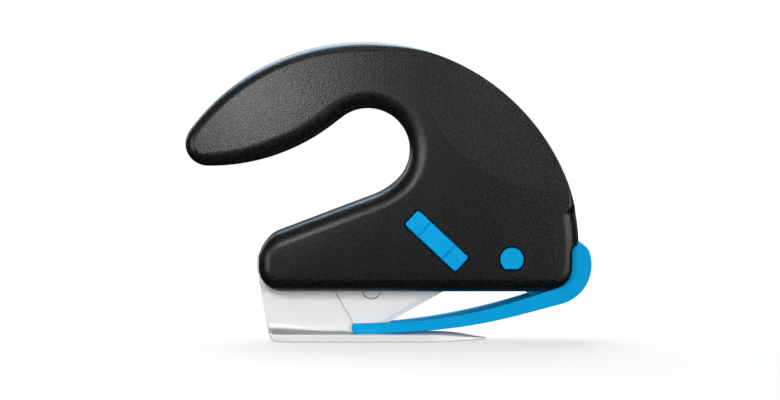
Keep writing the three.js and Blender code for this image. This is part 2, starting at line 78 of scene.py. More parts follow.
MM = 0.001
GAP = 0.3
HALF_DEPTH = 12.0
WALL = 2.4
STAND = 0.43
BODY_BOTTOM = 18.2

Ring = Callable[[Vector, float], tuple[float, float]]


# ---- shapes -------------------------------------------------------------------------------------------
class Shape:
    """A closed mesh in millimetres that other shapes can be joined to or cut from."""

    def __init__(self, bm: BMesh) -> None:
        """Turns a bmesh into a shape, with its doubles merged and its faces outwards.

        Args:
            bm: The bmesh, which is freed.
        """
        bmesh.ops.remove_doubles(bm, verts=bm.verts, dist=1e-4)
        bmesh.ops.recalc_face_normals(bm, faces=bm.faces)
        mesh = bpy.data.meshes.new("shape")
        bm.to_mesh(mesh)
        bm.free()
        self.obj = bpy.data.objects.new("shape", mesh)
        bpy.context.scene.collection.objects.link(self.obj)

    def join(self, *others: "Shape") -> "Shape":
        """Adds other shapes, which are used up."""
        return self._combine("UNION", others)

    def cut(self, *others: "Shape") -> "Shape":
        """Cuts other shapes away, which are used up."""
        return self._combine("DIFFERENCE", others)

    def _combine(self, operation: str, others: Iterable["Shape"]) -> "Shape":
        """Combines this shape with others, one after the other.

        Args:
            operation: The Boolean modifier's operation.
            others: The shapes to combine with.

        Returns:
            This shape.
        """
        used = list(others)
        for other in used:
            modifier = self.obj.modifiers.new("combine", "BOOLEAN")
            modifier.operation = operation
            modifier.solver = "MANIFOLD"
            modifier.object = other.obj
        self.apply_modifiers()
        for other in used:
            other.discard()
        return self

    def apply_modifiers(self) -> None:
        """Replaces the mesh by its evaluated one."""
        graph = bpy.context.evaluated_depsgraph_get()
        made = bpy.data.meshes.new_from_object(self.obj.evaluated_get(graph), depsgraph=graph)
        worn = self.obj.data
        self.obj.modifiers.clear()
        self.obj.data = made
        bpy.data.meshes.remove(worn)

    def edit(self, change: Callable[[BMesh], None]) -> "Shape":
        """Runs a bmesh edit on the mesh.

        Args:
            change: Takes the open bmesh and changes it.

        Returns:
            This shape.
        """
        bm = bmesh.new()
        bm.from_mesh(self.obj.data)
        change(bm)
        bm.to_mesh(self.obj.data)
        bm.free()
        return self

    def weld(self, distance: float) -> "Shape":
        """Merges vertices closer than a distance."""
        return self.edit(lambda bm: bmesh.ops.remove_doubles(bm, verts=bm.verts, dist=distance))

    def transform(self, matrix: Matrix) -> "Shape":
        """Moves every vertex by a matrix, and turns the faces outwards again."""

        def change(bm: BMesh) -> None:
            """Moves the vertices of the open bmesh."""
            bmesh.ops.transform(bm, matrix=matrix, verts=bm.verts)
            bmesh.ops.recalc_face_normals(bm, faces=bm.faces)

        return self.edit(change)

    def soften(self, width: float, segments: int = 3, above: float = 40.0) -> "Shape":
        """Rounds the edges whose faces meet at more than an angle.

        Args:
            width: The rounding's width.
            segments: Its number of strips.
            above: The smallest angle, in degrees, of an edge that is rounded.

        Returns:
            This shape.
        """

        def change(bm: BMesh) -> None:
            """Bevels the sharp edges of the open bmesh."""
            limit = math.radians(above)
            sharp = [e for e in bm.edges if len(e.link_faces) == 2 and e.calc_face_angle(0.0) > limit]
            bmesh.ops.bevel(
                bm,
                geom=sharp,
                offset=width,
                segments=segments,
                profile=0.5,
                affect="EDGES",
                material=-1,
                clamp_overlap=True,
            )

        return self.edit(change)

    def discard(self) -> None:
        """Removes the shape and its mesh."""
        mesh = self.obj.data
        bpy.data.objects.remove(self.obj)
        bpy.data.meshes.remove(mesh)

    def finish(
        self,
        name: str,
        body: str,
        nodes: Sequence[str],
        slot: str,
        material: bpy.types.Material,
        crease: float = 32.0,
        line: Callable[[BMEdge], bool] | None = None,
    ) -> bpy.types.Object:
        """Makes the shape a finished piece of the model, in metres.

        Args:
            name: The piece's name.
            body: The CAD body that it rides on.
            nodes: The CAD nodes that it stands for.
            slot: The record's material slot; not used.
            material: Its material.
            crease: The angle, in degrees, above which an edge stays sharp.
            line: Tells the edges that stay sharp at any angle.

        Returns:
            The piece's object.
        """
        self.obj.name = self.obj.data.name = name
        self.obj.data.transform(Matrix.Scale(MM, 4) @ Matrix.Translation((0, 0, STAND)))
        self.obj.data.shade_smooth()
        self.obj.data.set_sharp_from_angle(angle=math.radians(crease))
        if line is not None:

            def sharpen(bm: BMesh) -> None:
                """Marks the edges of the line as sharp."""
                for edge in filter(line, bm.edges):
                    edge.smooth = False

            self.edit(sharpen)
        weighted = self.obj.modifiers.new("weighted normals", "WEIGHTED_NORMAL")
        weighted.keep_sharp = True
        weighted.mode = "FACE_AREA"
        self.apply_modifiers()
        self.obj.data.name = name
        self.obj.data.materials.clear()
        self.obj.data.materials.append(material)
        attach(self.obj, body)
        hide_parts(*nodes)
        log.info("%s: %d faces, stands for %s", name, len(self.obj.data.polygons), ", ".join(nodes))
        return self.obj


def rod(x: float, z: float, y_low: float, y_high: float, radius: float, sides: int = 64) -> Shape:
    """A round bar along Y.

    Args:
        x: The axis's x.
        z: The axis's z.
        y_low: The lower end.
        y_high: The upper end.
        radius: The bar's radius.
        sides: How many sides stand for the round.

    Returns:
        The bar.
    """
    bm = bmesh.new()
    bmesh.ops.create_cone(
        bm, cap_ends=True, segments=sides, radius1=radius, radius2=radius, depth=y_high - y_low
    )
    place = Matrix.Translation((x, (y_low + y_high) / 2, z)) @ Matrix.Rotation(math.pi / 2, 4, "X")
    bmesh.ops.transform(bm, matrix=place, verts=bm.verts)
    return Shape(bm)


def block(xs: tuple[float, float], ys: tuple[float, float], zs: tuple[float, float]) -> Shape:
    """A block.

    Args:
        xs: Its lowest and highest x.
        ys: Its lowest and highest y.
        zs: Its lowest and highest z.

    Returns:
        The block.
    """
    bm = bmesh.new()
    bmesh.ops.create_cube(bm, size=1.0)
    bmesh.ops.scale(bm, vec=(xs[1] - xs[0], ys[1] - ys[0], zs[1] - zs[0]), verts=bm.verts)
    bmesh.ops.translate(bm, vec=(sum(xs) / 2, sum(ys) / 2, sum(zs) / 2), verts=bm.verts)
    return Shape(bm)


def spun(x: float, z: float, profile: Sequence[tuple[float, float]], sides: int = 64) -> Shape:
    """A round solid about a Y axis, whose profile starts and ends on the axis.

    Args:
        x: The axis's x.
        z: The axis's z.
        profile: Radius and y of each point.
        sides: How many sides stand for the round.

    Returns:
        The solid.
    """
    bm = bmesh.new()
    chain = [bm.verts.new((x + radius, y, z)) for radius, y in profile]
    edges = [bm.edges.new(pair) for pair in zip(chain, chain[1:])]
    bmesh.ops.spin(
        bm,
        geom=chain + edges,
        cent=(x, 0, z),
        axis=(0, 1, 0),
        angle=math.tau,
        steps=sides,
        use_merge=True,
    )
    return Shape(bm)


def prism(outline: Sequence[Vector], y_low: float, y_high: float, corner: float = 0.0) -> Shape:
    """A slab of a polygon in the XZ plane.

    Args:
        outline: The polygon's points.
        y_low: The lower face.
        y_high: The upper face.
        corner: How far each corner is rounded back.

    Returns:
        The slab.
    """
    bm = bmesh.new()
    face = bm.faces.new([bm.verts.new((p[0], y_low, p[1])) for p in outline])
    if corner > 0:
        bmesh.ops.bevel(
            bm,
            geom=list(face.verts),
            offset=corner,
            segments=8,
            profile=0.5,
            affect="VERTICES",
            material=-1,
            clamp_overlap=True,
        )
    raised = bmesh.ops.extrude_face_region(bm, geom=bm.faces[:], use_keep_orig=True)["geom"]
    lifted = [v for v in raised if isinstance(v, BMVert)]
    bmesh.ops.translate(bm, vec=(0, y_high - y_low, 0), verts=lifted)
    return Shape(bm)


def extrude_loop(bm: BMesh, edges: Sequence[BMEdge]) -> tuple[set[BMVert], list[BMEdge]]:
    """Extrudes a closed loop of edges, in place.

    Args:
        bm: The open bmesh.
        edges: The loop.

    Returns:
        The new loop's vertices and its edges.
    """
    made = bmesh.ops.extrude_edge_only(bm, edges=edges)["geom"]
    fresh = {v for v in made if isinstance(v, BMVert)}
    return fresh, [e for e in made if isinstance(e, BMEdge) and fresh.issuperset(e.verts)]


# ---- outlines -----------------------------------------------------------------------------------------
@dataclass(frozen=True)
class Bend:
    """One circle that an outline runs round.

    Its radius is negative where the outline bends inwards, and rim is the rounding of the edge there.
    """

    x: float
    z: float
    radius: float
    rim: float = 0.0


@dataclass(frozen=True)
class Belt:
    """An outline in the XZ plane that runs anticlockwise round its bends, tangent to each."""

    bends: tuple[Bend, ...]
    spacing: float = 0.8
    turn: float = 5.0

    def arcs(self) -> list[tuple[Bend, float, float]]:
        """The outline's arcs.

        Returns:
            Each bend with the angle at which its arc starts and the angle that it sweeps, in radians.
        """
        headings = []
        for bend, after in zip(self.bends, self.bends[1:] + self.bends[:1]):
            step = Vector((after.x - bend.x, after.z - bend.z))
            rise = after.radius - bend.radius
            run = math.sqrt(max(0.0, step.length_squared - rise * rise))
            headings.append(math.atan2(step.y, step.x) - math.atan2(rise, run))
        found = []
        for i, bend in enumerate(self.bends):
            arriving = headings[i - 1]
            sweep = math.fmod(headings[i] - arriving, math.tau)
            sign = math.copysign(1.0, bend.radius)
            if sweep * sign < 0 and abs(sweep) > 1e-6:
                sweep += sign * math.tau
            found.append((bend, arriving - math.pi / 2, sweep))
        return found

    def draw(self, bm: BMesh) -> list[BMEdge]:
        """Draws the outline as a closed loop at y = 0.

        Each vertex carries its outward direction in the layer "out", its place in "base" and its edge's
        rounding in "rim".

        Args:
            bm: The bmesh that gets the loop.

        Returns:
            The loop's edges.
        """
        layers = bm.verts.layers
        out, base = layers.float_vector.new("out"), layers.float_vector.new("base")
        rim = layers.float.new("rim")
        ends: list[tuple[BMVert, BMVert]] = []
        for i, (bend, start, sweep) in enumerate(self.arcs()):
            centre = Vector((bend.x, 0, bend.z))
            heading = Vector((math.cos(start), 0, math.sin(start)))
            first = bm.verts.new(centre + heading * bend.radius)
            length = abs(bend.radius * sweep)
            steps = max(1, math.ceil(max(length / self.spacing, math.degrees(abs(sweep)) / self.turn)))
            known = len(bm.verts) - 1
            bmesh.ops.spin(bm, geom=[first], cent=centre, axis=(0, -1, 0), angle=sweep, steps=steps)
            chain = bm.verts[:][known:]
            before, after = self.bends[i - 1].rim, self.bends[(i + 1) % len(self.bends)].rim
            for k, vert in enumerate(chain):
                way = k / steps
                other, share = (before, 0.5 - way) if way < 0.5 else (after, way - 0.5)
                vert[out] = (vert.co - centre) / bend.radius
                vert[base] = vert.co
                vert[rim] = bend.rim + (other - bend.rim) * share
            ends.append((chain[0], chain[-1]))
        for (_, last), (first, _) in zip(ends, ends[1:] + ends[:1]):
            bm.edges.new((last, first))
        bmesh.ops.remove_doubles(bm, verts=bm.verts, dist=0.01)
        return bm.edges[:]

    def loft(self, rings: Sequence[Ring]) -> Shape:
        """A closed solid through rings that follow the outline.

        Args:
            rings: Each takes a point of the outline and its rounding, and gives how far the ring stands
                outside the outline there, and its y.

        Returns:
            The solid.
        """
        bm = bmesh.new()
        edges = self.draw(bm)
        layers = bm.verts.layers
        out, base = layers.float_vector["out"], layers.float_vector["base"]
        rim = layers.float["rim"]

        def place(verts: Iterable[BMVert], ring: Ring) -> None:
            """Puts vertices on a ring."""
            for vert in verts:
                grow, y = ring(vert[base], vert[rim])
                vert.co = vert[base] + vert[out] * grow
                vert.co.y = y

        place(bm.verts, rings[0])
        bmesh.ops.edgeloop_fill(bm, edges=edges)
        for ring in rings[1:]:
            fresh, edges = extrude_loop(bm, edges)
            place(fresh, ring)
        bmesh.ops.edgeloop_fill(bm, edges=edges)
        return Shape(bm)

    def slab(self, stations: Sequence[tuple[float, float]]) -> Shape:
        """A solid whose rings stand evenly outside the outline.

        Args:
            stations: How far each ring stands outside the outline, and its y.

        Returns:
            The solid.
        """
        return self.loft([lambda base, rim, at=at: at for at in stations])


def rounded_stations(y_low: float, y_high: float, rounding: float, steps: int = 5) -> list[tuple[float, float]]:
    """The stations of a slab with both rims rounded.

    Args:
        y_low: The lower face.
        y_high: The upper face.
        rounding: The rims' radius.
        steps: How many strips each rim has.

    Returns:
        The stations, from the lower face to the upper.
    """
    angles = [math.pi / 2 * k / steps for k in range(steps + 1)]
    insets = [(-rounding * (1 - math.cos(a)), rounding * (1 - math.sin(a))) for a in angles]
    lower = [(grow, y_low + lift) for grow, lift in reversed(insets)]
    return lower + [(grow, y_high - lift) for grow, lift in insets]


def rounded_bar(at: Vector, length: float, width: float, corner: float, degrees: float) -> Belt:
    """The outline of a turned bar with rounded corners.

    Args:
        at: Its centre, as x and z.
        length: Its length.
        width: Its width.
        corner: Its corners' radius.
        degrees: How far it is turned anticlockwise.

    Returns:
        The outline.
    """
    turn = Matrix.Rotation(math.radians(degrees), 2)
    corners = []
    for along, across in ((1, -1), (1, 1), (-1, 1), (-1, -1)):
        spot = turn @ Vector((along * (length / 2 - corner), across * (width / 2 - corner))) + at
        corners.append(Bend(spot.x, spot.y, corner))
    return Belt(tuple(corners), turn=15.0)


def smooth_step(low: float, high: float, value: float) -> float:
    """0 below low, 1 above high, and smooth between them."""
    way = min(1.0, max(0.0, (value - low) / (high - low)))
    return way * way * (3 - 2 * way)


# ---- where things sit ---------------------------------------------------------------------------------
BLADE_DEGREES = 29.5
BLADE_TURN = Matrix.Rotation(math.radians(BLADE_DEGREES), 2)
BLADE_HEEL = Vector((-9.86, 0.8))
KEY_DEGREES = -43.35
KEY_CENTRE = Vector((17.12, 36.8))
PIVOT = Vector((44.07, 30.13))
STUD_U, STUD_V = 11.6, 13.37
SCREW_PLACES = ((-58, 75), (-22, 92), (26, 84), (57, 52), (33, 27.4), (-31, 37.6))
PIN_PLACES = ((-40, 26.5), (-29.5, 27.5), (-6, 34.5))


def on_blade(u: float, v: float) -> Vector:
    """The x and z of a point given along the blade's edge and up its short side."""
    return BLADE_TURN @ Vector((u, v)) + BLADE_HEEL


def on_key(along: float) -> Vector:
    """The x and z of a point along the key from its centre."""
    return Matrix.Rotation(math.radians(KEY_DEGREES), 2) @ Vector((along, 0)) + KEY_CENTRE


ARM_PROFILE = Belt(
    (
        Bend(-12.2, 3.9, 1.3),
        Bend(-10.06, 231.6, 229),
        Bend(58.42, 27.88, 14.5),
        Bend(68.75, 32.3, 3.1),
        Bend(57.8, 26.9, -7.85),
        Bend(-13.28, 211, -204.95),
        Bend(-12.2, 4.75, 1.3),
    )
)


# ---- shader graphs ------------------------------------------------------------------------------------
class Signal:
    """A number socket of a shader graph that can be used in an expression."""

    def __init__(self, graph: "Graph", socket: Any) -> None:
        """Wraps a socket, or a plain number, of a graph."""
        self.graph = graph
        self.socket = socket

    def _math(self, operation: str, first: Any, second: Any) -> "Signal":
        """Adds a Math node of two values."""
        return self.graph.node("ShaderNodeMath", {"operation": operation}, {0: first, 1: second})["Value"]

    def __add__(self, other: Any) -> "Signal":
        """self + other"""
        return self._math("ADD", self, other)

    def __radd__(self, other: Any) -> "Signal":
        """other + self"""
        return self._math("ADD", other, self)

    def __sub__(self, other: Any) -> "Signal":
        """self - other"""
        return self._math("SUBTRACT", self, other)

    def __rsub__(self, other: Any) -> "Signal":
        """other - self"""
        return self._math("SUBTRACT", other, self)

    def __mul__(self, other: Any) -> "Signal":
        """self * other"""
        return self._math("MULTIPLY", self, other)

    def __rmul__(self, other: Any) -> "Signal":
        """other * self"""
        return self._math("MULTIPLY", other, self)

    def size(self) -> "Signal":
        """The value without its sign."""
        return self._math("ABSOLUTE", self, 0.0)

    def above(self, low: float, high: float) -> "Signal":
        """0 below low, 1 above high, and smooth between them."""
        settings = {"interpolation_type": "SMOOTHSTEP"}
        return self.graph.node("ShaderNodeMapRange", settings, {0: self, 1: low, 2: high})["Result"]


class Outputs:
    """The outputs of a node, as signals."""

    def __init__(self, graph: "Graph", node: bpy.types.Node) -> None:
        """Wraps a node of a graph."""
        self.graph = graph
        self.made = node

    def __getitem__(self, name: str) -> Signal:
        """The output of that name."""
        return Signal(self.graph, self.made.outputs[name])


class Graph:
    """The node graph of one material."""

    def __init__(self, name: str) -> None:
        """Starts a material with an empty graph."""
        self.material = bpy.data.materials.new(name)
        self.material.use_nodes = True
        self.tree = self.material.node_tree
        self.tree.nodes.clear()
        self.place = self.node("ShaderNodeTexCoord", {}, {})["Object"]

    def node(self, kind: str, settings: dict[str, Any], inputs: dict[Any, Any]) -> Outputs:
        """Adds a node.

        Args:
            kind: The node's type.
            settings: Its own settings, which are set first; "stops" are a ramp's places and colours.
            inputs: A value or a signal for each of its sockets that is given.

        Returns:
            The node's outputs.
        """
        made = self.tree.nodes.new(kind)
        for key, value in settings.items():
            if key == "stops":
                ramp = made.color_ramp.elements
                for i, (spot, colour) in enumerate(value):
                    stop = ramp[i] if i < len(ramp) else ramp.new(spot)
                    stop.position = spot
                    stop.color = colour
            else:
                setattr(made, key, value)
        for key, value in inputs.items():
            if isinstance(value, Signal):
                self.tree.links.new(made.inputs[key], value.socket)
            else:
                made.inputs[key].default_value = value
        return Outputs(self, made)

    def axes(self) -> tuple[Signal, Signal, Signal]:
        """The object coordinates, in metres."""
        parts = self.node("ShaderNodeSeparateXYZ", {}, {0: self.place})
        return parts["X"], parts["Y"], parts["Z"]

    def mix(self, amount: Signal, colour: Signal, other: tuple) -> Signal:
        """A colour signal where amount is 0 and another colour where it is 1."""
        settings = {"data_type": "RGBA"}
        made = self.node("ShaderNodeMix", settings, {0: amount, 6: colour, 7: (*other, 1)})
        return Signal(self, made.made.outputs[2])

    def noise(self, size: float, detail: float = 2.0, stretch: tuple = (1, 1, 1)) -> Signal:
        """Soft noise on object coordinates.

        Args:
            size: The size of its blobs, in millimetres.
            detail: How much finer noise lies in it.
            stretch: How many times longer the blobs are along X, Y and Z.

        Returns:
            The noise, from 0 to 1.
        """
        scale = tuple(1 / s for s in stretch)
        spot = self.node("ShaderNodeMapping", {}, {"Vector": self.place, "Scale": scale})["Vector"]
        inputs = {"Vector": spot, "Scale": 1 / (size * MM), "Detail": detail}
        return self.node("ShaderNodeTexNoise", {}, inputs)["Fac"]

    def away(self, low: float, high: float) -> Signal:
        """0 nearer to the origin than low metres, 1 further than high, and smooth between them."""
        length = self.node("ShaderNodeVectorMath", {"operation": "LENGTH"}, {0: self.place})["Value"]
        return length.above(low, high)

    def blend(self, amount: Signal, low: tuple, high: tuple) -> Signal:
        """A colour between two others."""
        inputs = {"Factor": amount, 6: (*low, 1), 7: (*high, 1)}
        made = self.node("ShaderNodeMix", {"data_type": "RGBA"}, inputs)
        return Signal(self, made.made.outputs[2])

    def bump(self, height: Signal, depth: float, normal: Signal | None = None) -> Signal:
        """The normal of a surface with a fine relief.

        Args:
            height: The relief, from 0 to 1.
            depth: Its depth in millimetres.
            normal: A relief that this one lies on.

        Returns:
            The normal.
        """
        inputs = {"Height": height, "Distance": depth * MM, "Strength": 1.0}
        if normal is not None:
            inputs["Normal"] = normal
        return self.node("ShaderNodeBump", {}, inputs)["Normal"]

    def surface(self, inputs: dict[str, Any]) -> bpy.types.Material:
        """Ends the graph in a Principled shader.

        Args:
            inputs: The shader's sockets.

        Returns:
            The material.
        """
        shader = self.node("ShaderNodeBsdfPrincipled", {}, inputs)["BSDF"]
        self.node("ShaderNodeOutputMaterial", {}, {"Surface": shader})
        return self.material


@dataclass(frozen=True)
class GrainedPlastic:
    """Black moulded plastic with a fine spark-eroded grain."""

    colour: tuple = (0.0012, 0.0012, 0.0013)
    pale: tuple = (0.0095, 0.0095, 0.0098)
    grain: float = 0.75
    depth: float = 0.07
    roughness: float = 0.32

    def make(self) -> bpy.types.Material:
        """Makes the material."""
        g = Graph("black grained plastic")
        grain = g.noise(self.grain, 3.0)
        patch = g.noise(9.0, 2.0)
        pores = g.noise(self.grain * 0.45, 1.0)
        relief = g.bump(grain * 0.7 + pores * 0.3, self.depth)
        return g.surface(
            {
                "Base Color": g.blend(grain.above(0.42, 0.66), self.colour, self.pale),
                "Roughness": self.roughness + 0.1 * grain + 0.04 * (patch - 0.5),
                "Specular IOR Level": 0.35,
                "Normal": relief,
            }
        )


@dataclass(frozen=True)
class BluePlastic:
    """Smooth blue moulded plastic with a faint satin grain."""

    colour: tuple = (0.0008, 0.335, 0.69)
    pale: tuple = (0.0010, 0.35, 0.72)
    roughness: float = 0.5

    def make(self) -> bpy.types.Material:
        """Makes the material."""
        g = Graph("blue moulded plastic")
        flow = g.noise(6.0, 3.0)
        satin = g.noise(0.35, 2.0)
        return g.surface(
            {
                "Base Color": g.blend(flow.above(0.3, 0.7), self.colour, self.pale),
                "Roughness": self.roughness + 0.08 * satin + 0.06 * flow,
                "Specular IOR Level": 0.06,
                "Normal": g.bump(satin, 0.006),
            }
        )


@dataclass(frozen=True)
class SatinSteel:
    """Steel with fine grinding marks, stretched by marks along X, Y and Z.

    With the painted top shade on, the top of the sled behind the blade's slot is darkened in its colour by its
    place on the object: painted shade under the black body.
    """

    name: str = "satin steel"
    colour: tuple = (0.84, 0.84, 0.84)
    pale: tuple = (0.865, 0.865, 0.865)
    roughness: float = 0.5
    marks: tuple = (14, 1, 1)
    depth: float = 0.0015
    metal: float = 0.45
    painted_top_shade: bool = False

    def make(self) -> bpy.types.Material:
        """Makes the material."""
        g = Graph(self.name)
        brushed = g.noise(0.22, 2.0, self.marks)
        smudge = g.noise(7.0, 3.0)
        colour = g.blend(smudge.above(0.3, 0.7), self.colour, self.pale)
        if self.painted_top_shade:
            x, y, z = g.axes()
            # Painted shade: the sled's top behind the slot, under the black body, is darkened in its colour to
            # grey by its place.
            top = y.size().above(0.0013, 0.0022) * z.above(0.0027, 0.0029) * (1 - x.above(-0.014, -0.008))
            colour = g.mix(top, colour, (0.36, 0.36, 0.365))
        return g.surface(
            {
                "Base Color": colour,
                "Metallic": self.metal,
                "Roughness": self.roughness + 0.06 * brushed + 0.03 * smudge,
                "Normal": g.bump(brushed, self.depth),
            }
        )


# ---- the handle ---------------------------------------------------------------------------------------
class Side(Enum):
    """The two sides of the handle."""

    NEAR = -1
    FAR = 1


@dataclass(frozen=True)
class Facet:
    """The shallow cone that dishes the handle's upper front on both sides."""

    x: float = 58.3
    z: float = 103.0
    radius: float = 47.9
    slope: float = math.tan(math.radians(4.0))

    def depth(self, x: float, z: float) -> float:
        """How deep the dish is at a point."""
        return max(0.0, self.radius - math.hypot(x - self.x, z - self.z)) * self.slope

    def has(self, edge: BMEdge) -> bool:
        """Whether a finished edge runs along the dish's boundary."""

        def on(vert: BMVert) -> bool:
            """Whether a vertex lies where the dish meets a flat face."""
            away = math.hypot(vert.co.x / MM - self.x, vert.co.z / MM - STAND - self.z)
            return abs(away - self.radius) < 0.03 and abs(vert.co.y / MM) > HALF_DEPTH - 0.1

        return on(edge.verts[0]) and on(edge.verts[1])

    def facing(self, side: Side) -> Shape:
        """What lies outside a side's face: everything past the flat, and the dish.

        Args:
            side: The side of the handle.

        Returns:
            The shape to cut away.
        """
        flat, far = side.value * HALF_DEPTH, side.value * (HALF_DEPTH + 8)
        floor = side.value * (HALF_DEPTH - self.radius * self.slope)
        profile = [(0, floor)]
        profile += [(self.radius * k / 4, floor + (flat - floor) * k / 4) for k in range(1, 5)]
        return spun(self.x, self.z, [*profile, (190, flat), (190, far), (0, far)], 360)


@dataclass(frozen=True)
class HandleShell:
    """One half of the C-shaped handle."""

    side: Side
    outline: Belt = Belt(
        (
            Bend(59.83, 26.2, 8, 5.4),
            Bend(1.36, 34.11, 67, 5.4),
            Bend(-8.8, 29.9, 78, 3.7),
            Bend(-65, 71.55, 8, 3.9),
            Bend(-64, 135.5, 71.95, 6.6),
            Bend(-7.55, 69.1, -15.1, 6.8),
            Bend(-14.55, 76.1, -25, 5.8),
            Bend(-36, 29.53, 11, 5.4),
            Bend(-38.2, 27, 8.8, 5.4),
        ),
        spacing=0.6,
        turn=3.0,
    )
    facet: Facet = Facet()
    rim_strips: int = 12
    sharp_rim: float = 0.4
    # Degrees round the outer arc: where the rim's notch lies, where the sharp rim sets in above it, and
    # where it ends over the top.
    notch: tuple[float, float] = (12.6, 14.6)
    fading: tuple[float, float] = (13.0, 20.5)
    crest: tuple[float, float] = (70.0, 88.0)
    # How far the rim's last ring stays under the face, so that the cut never meets it.
    under: float = 0.004
    boss: float = 3.3
    counterbore: float = 3.0
    seat: float = 6.6
    bore: float = 1.55

    def rim_at(self, base: Vector, rim: float) -> float:
        """The rounding of the edge at a point of the outline, which nearly vanishes along the facet.

        Args:
            base: The point.
            rim: The rounding without the facet.

        Returns:
            The rounding.
        """
        around = self.outline.bends[2]
        across, up = base.x - around.x, base.z - around.z
        if math.hypot(across, up) < 0.9 * around.radius:
            return rim
        angle = math.degrees(math.atan2(up, across))
        if angle < 45:
            low = self.sharp_rim + (0.5 * rim - self.sharp_rim) * (1 - smooth_step(*self.fading, angle))
            return low + (rim - low) * (1 - smooth_step(*self.notch, angle))
        return self.sharp_rim + (rim - self.sharp_rim) * smooth_step(*self.crest, angle)

    def form(self) -> Shape:
        """The solid outer form of this half, rounded at its rim and dished at its upper front.

        Returns:
            The form.
        """
        sign = self.side.value

        def ring(angle: float) -> Ring:
            """The ring at an angle round the rim."""

            def at(base: Vector, rim: float) -> tuple[float, float]:
                """Where the ring runs at a point of the outline."""
                radius = self.rim_at(base, rim)
                depth = HALF_DEPTH - self.facet.depth(base.x, base.z)
                drop = radius * (1 - math.sin(angle))
                return -radius * (1 - math.cos(angle)), sign * (depth - drop - self.under)

            return at

        def lid(base: Vector, rim: float) -> tuple[float, float]:
            """The last ring, past the face that is cut."""
            return -self.rim_at(base, rim), sign * (HALF_DEPTH + 1)

        steps = self.rim_strips
        rings = [lambda base, rim: (-0.22, sign * GAP / 2), lambda base, rim: (0.0, sign * (GAP / 2 + 0.22))]
        rings += [ring(math.pi / 2 * k / steps) for k in range(steps + 1)] + [lid]
        return self.outline.loft(rings).cut(self.facet.facing(self.side)).weld(0.01)

    def hollow(self) -> Shape:
        """The room inside this half."""
        sign = self.side.value
        stations = [(-WALL, -sign), (-WALL, sign * 7.6), (-WALL - 0.7, sign * 9.0), (-WALL - 2.2, sign * 9.6)]
        room = self.outline.slab(stations)
        return room.cut(ARM_PROFILE.slab([(2.8, -HALF_DEPTH), (2.8, HALF_DEPTH)]))

    def slots(self) -> list[Shape]:
        """The slots for the foot, the blade, the blade stud and the arm's lug."""
        low = (BODY_BOTTOM - 3, BODY_BOTTOM + WALL + 1)
        stud = on_blade(STUD_U, STUD_V)
        return [
            block((-50, 26), (-1.2, 1.2), low),
            block((-50, -40), (-1.2, 1.2), (low[0], 34)),
            block((stud.x - 5, stud.x + 5), (0, 6.7), low),
            block((43.4, 60.8), (-3.6, 3.6), (low[0], BODY_BOTTOM + WALL + 4)),
            ARM_PROFILE.slab([(0.8, -HALF_DEPTH - 1), (0.8, HALF_DEPTH + 1)]),
        ]

    def near_openings(self) -> list[Shape]:
        """The windows of the key and the button, with broken edges, and the blind bores."""
        face = -HALF_DEPTH
        mouth = [(GAP, -8), (GAP, face + 0.6), (GAP + 0.4, face - 0.02), (GAP + 0.4, face - 1)]
        round_mouth = [(GAP, -8), (GAP, face + 0.7), (GAP + 0.5, face - 0.02), (GAP + 0.5, face - 1)]
        cuts = [ReleaseKey().outline().slab(mouth), LockButton().outline().slab(round_mouth)]
        cuts += [rod(x, z, -8.0, 1, self.bore, 32) for x, z in SCREW_PLACES]
        return cuts + [rod(x, z, -7.3, 1, 1.8, 32) for x, z in PIN_PLACES]

    def far_openings(self) -> list[Shape]:
        """The counterbores of the screws, with broken edges, and the bores behind them."""
        cuts = []
        for x, z in SCREW_PLACES:
            face = HALF_DEPTH - self.facet.depth(x, z)
            wide = self.counterbore + 0.4
            profile = [(0, self.seat), (self.counterbore, self.seat), (self.counterbore, face - 0.4)]
            cuts.append(spun(x, z, [*profile, (wide, face), (wide, face + 2), (0, face + 2)]))
            cuts.append(rod(x, z, -1, 8, self.bore, 32))
        cuts += [rod(x, z, -1, 7.3, 1.8, 32) for x, z in PIN_PLACES]
        return cuts + [rod(PIVOT.x, PIVOT.y, -1, 9.7, 3.2, 48)]

    def build(self) -> Shape:
        """Builds this half.

        Returns:
            The half as a hollow shell with its bosses, windows, bores and slots.
        """
        sign = self.side.value
        near = self.side is Side.NEAR
        ends = sorted((sign * GAP / 2, sign * 9.7))
        pin_ends = sorted((sign * 1.2, sign * 9.7))
        bosses = [rod(x, z, *ends, self.boss if near else self.boss + 0.9, 40) for x, z in SCREW_PLACES]
        bosses += [rod(x, z, *pin_ends, self.boss, 40) for x, z in PIN_PLACES]
        if not near:
            bosses.append(rod(PIVOT.x, PIVOT.y, 7.6, 9.7, 5, 48))
            for along in (-9, 9):
                at = on_key(along)
                bosses.append(rod(at.x, at.y, 6.9, 9.7, 1.2, 24))
        shell = self.form().cut(self.hollow()).join(*bosses)
        shell.cut(*(self.near_openings() if near else self.far_openings()))
        return shell.cut(*self.slots())

    def dress(self, material: bpy.types.Material) -> bpy.types.Object:
        """Builds the half and makes it a finished piece."""
        name, node = ("near_shell", "left_shell") if self.side is Side.NEAR else ("far_shell", "right_shell")
        return self.build().finish(name, "handle", [node], "black_plastic", material, 28.0, self.facet.has)


# ---- the foot and the blade ---------------------------------------------------------------------------
def quarter(steps: int) -> list[float]:
    """The angles of a quarter turn, from 0."""
    return [math.pi / 2 * k / steps for k in range(steps + 1)]


